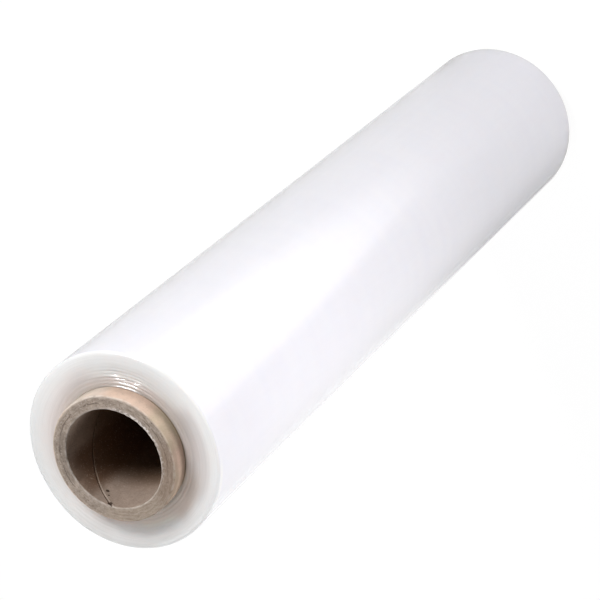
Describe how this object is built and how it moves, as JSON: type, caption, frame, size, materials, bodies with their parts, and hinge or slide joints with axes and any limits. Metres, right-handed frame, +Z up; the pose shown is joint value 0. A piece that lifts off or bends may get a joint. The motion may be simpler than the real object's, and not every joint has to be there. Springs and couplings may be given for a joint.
{
  "type": "stretch wrap roll",
  "caption": "Roll of clear stretch wrap film wound on a spiral paper core that stands out at both ends; the core's bore takes a dispenser's mandrel or handle.",
  "frame": {"origin": "the middle of the core's lower end, which is the ring that the roll stands on", "axes": "+Z up along the roll's axis to the upper end; X and Y across the roll, with the pictured side towards -Y"},
  "size_m": [0.1001, 0.1, 0.518],
  "materials": {
    "core_board": "matt grey-brown board, with a tan kraft outer ply and a fibrous cut end",
    "wrap_film": "clear glossy film that turns milky white where many turns lie on each other"
  },
  "bodies": {
    "root": {"core_tube": "core_board", "film_roll": "wrap_film"}
  },
  "joints": []
}
